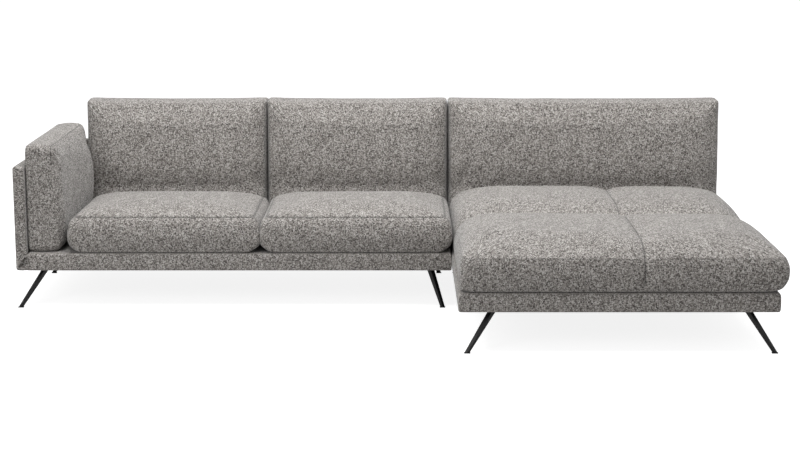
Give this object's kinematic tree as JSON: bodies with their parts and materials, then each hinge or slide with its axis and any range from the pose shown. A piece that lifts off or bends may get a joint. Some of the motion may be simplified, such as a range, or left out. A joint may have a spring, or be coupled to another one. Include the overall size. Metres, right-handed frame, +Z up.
{
  "type": "sectional sofa with chaise",
  "caption": "Sectional sofa with an arm at the left and a chaise at the right: loose plump cushions on a slim upholstered frame with splayed blade legs.",
  "frame": {"origin": "on the floor below the middle of the overall box", "axes": "+X to the right as seen from the front, +Y to the rear, +Z up"},
  "size_m": [3.0144, 1.679, 0.7813],
  "materials": {
    "upholstery": "woven melange",
    "foam": "open cell",
    "timber": "planed",
    "webbing": "woven",
    "felt": "needled",
    "dust_cloth": "non-woven",
    "black_steel": "satin",
    "zinc_steel": "zinc plated",
    "glide": "moulded"
  },
  "bodies": {
    "two_seat_section": {"arm_cover": "upholstery", "arm_frame": "timber", "sofa_back_cover": "upholstery", "sofa_back_frame": "timber", "sofa_back_webbing": "webbing", "sofa_base_cover": "upholstery", "sofa_cross_rails": "timber", "sofa_deck_pad": "felt", "sofa_dust_cover": "dust_cloth", "sofa_front_rail": "timber", "sofa_glides": "glide", "sofa_left_rail": "timber", "sofa_leg_1": "black_steel", "sofa_leg_2": "black_steel", "sofa_leg_3": "black_steel", "sofa_leg_4": "black_steel", "sofa_leg_blocks": "timber", "sofa_long_webbing": "webbing", "sofa_rear_rail": "timber", "sofa_right_rail": "timber", "sofa_sockets": "zinc_steel", "sofa_woven_webbing": "webbing"},
    "chaise_section": {"chaise_back_cover": "upholstery", "chaise_back_frame": "timber", "chaise_back_webbing": "webbing", "chaise_base_cover": "upholstery", "chaise_cross_rails": "timber", "chaise_deck_pad": "felt", "chaise_dust_cover": "dust_cloth", "chaise_front_rail": "timber", "chaise_glides": "glide", "chaise_left_rail": "timber", "chaise_leg_1": "black_steel", "chaise_leg_2": "black_steel", "chaise_leg_3": "black_steel", "chaise_leg_4": "black_steel", "chaise_leg_blocks": "timber", "chaise_long_webbing": "webbing", "chaise_rear_rail": "timber", "chaise_right_rail": "timber", "chaise_tongues": "zinc_steel", "chaise_woven_webbing": "webbing"},
    "seat_cushion_left": {"seat_cushion_left_core": "foam", "seat_cushion_left_cover": "upholstery"},
    "seat_cushion_right": {"seat_cushion_right_core": "foam", "seat_cushion_right_cover": "upholstery"},
    "arm_cushion": {"arm_cushion_core": "foam", "arm_cushion_cover": "upholstery"},
    "back_cushion_left": {"back_cushion_left_core": "foam", "back_cushion_left_cover": "upholstery"},
    "back_cushion_middle": {"back_cushion_middle_core": "foam", "back_cushion_middle_cover": "upholstery"},
    "back_cushion_right": {"back_cushion_right_core": "foam", "back_cushion_right_cover": "upholstery"},
    "chaise_pad": {"chaise_pad_core": "foam", "chaise_pad_cover": "upholstery"}
  },
  "joints": [
    {"name": "chaise_pull_apart", "type": "slide", "parent": "two_seat_section", "child": "chaise_section", "axis": [1, 0, 0], "range_m": [0, 0.3]},
    {"name": "seat_cushion_left_lift", "type": "slide", "parent": "two_seat_section", "child": "seat_cushion_left", "axis": [0, 0, 1], "range_m": [0, 0.56]},
    {"name": "seat_cushion_right_lift", "type": "slide", "parent": "two_seat_section", "child": "seat_cushion_right", "axis": [0, 0, 1], "range_m": [0, 0.56]},
    {"name": "arm_cushion_lift", "type": "slide", "parent": "two_seat_section", "child": "arm_cushion", "axis": [0, 0, 1], "range_m": [0, 0.56]},
    {"name": "back_cushion_left_lift", "type": "slide", "parent": "two_seat_section", "child": "back_cushion_left", "axis": [0, 0, 1], "range_m": [0, 0.56]},
    {"name": "back_cushion_middle_lift", "type": "slide", "parent": "two_seat_section", "child": "back_cushion_middle", "axis": [0, 0, 1], "range_m": [0, 0.56]},
    {"name": "back_cushion_right_lift", "type": "slide", "parent": "chaise_section", "child": "back_cushion_right", "axis": [0, 0, 1], "range_m": [0, 0.56]},
    {"name": "chaise_pad_lift", "type": "slide", "parent": "chaise_section", "child": "chaise_pad", "axis": [0, 0, 1], "range_m": [0, 0.56]}
  ]
}
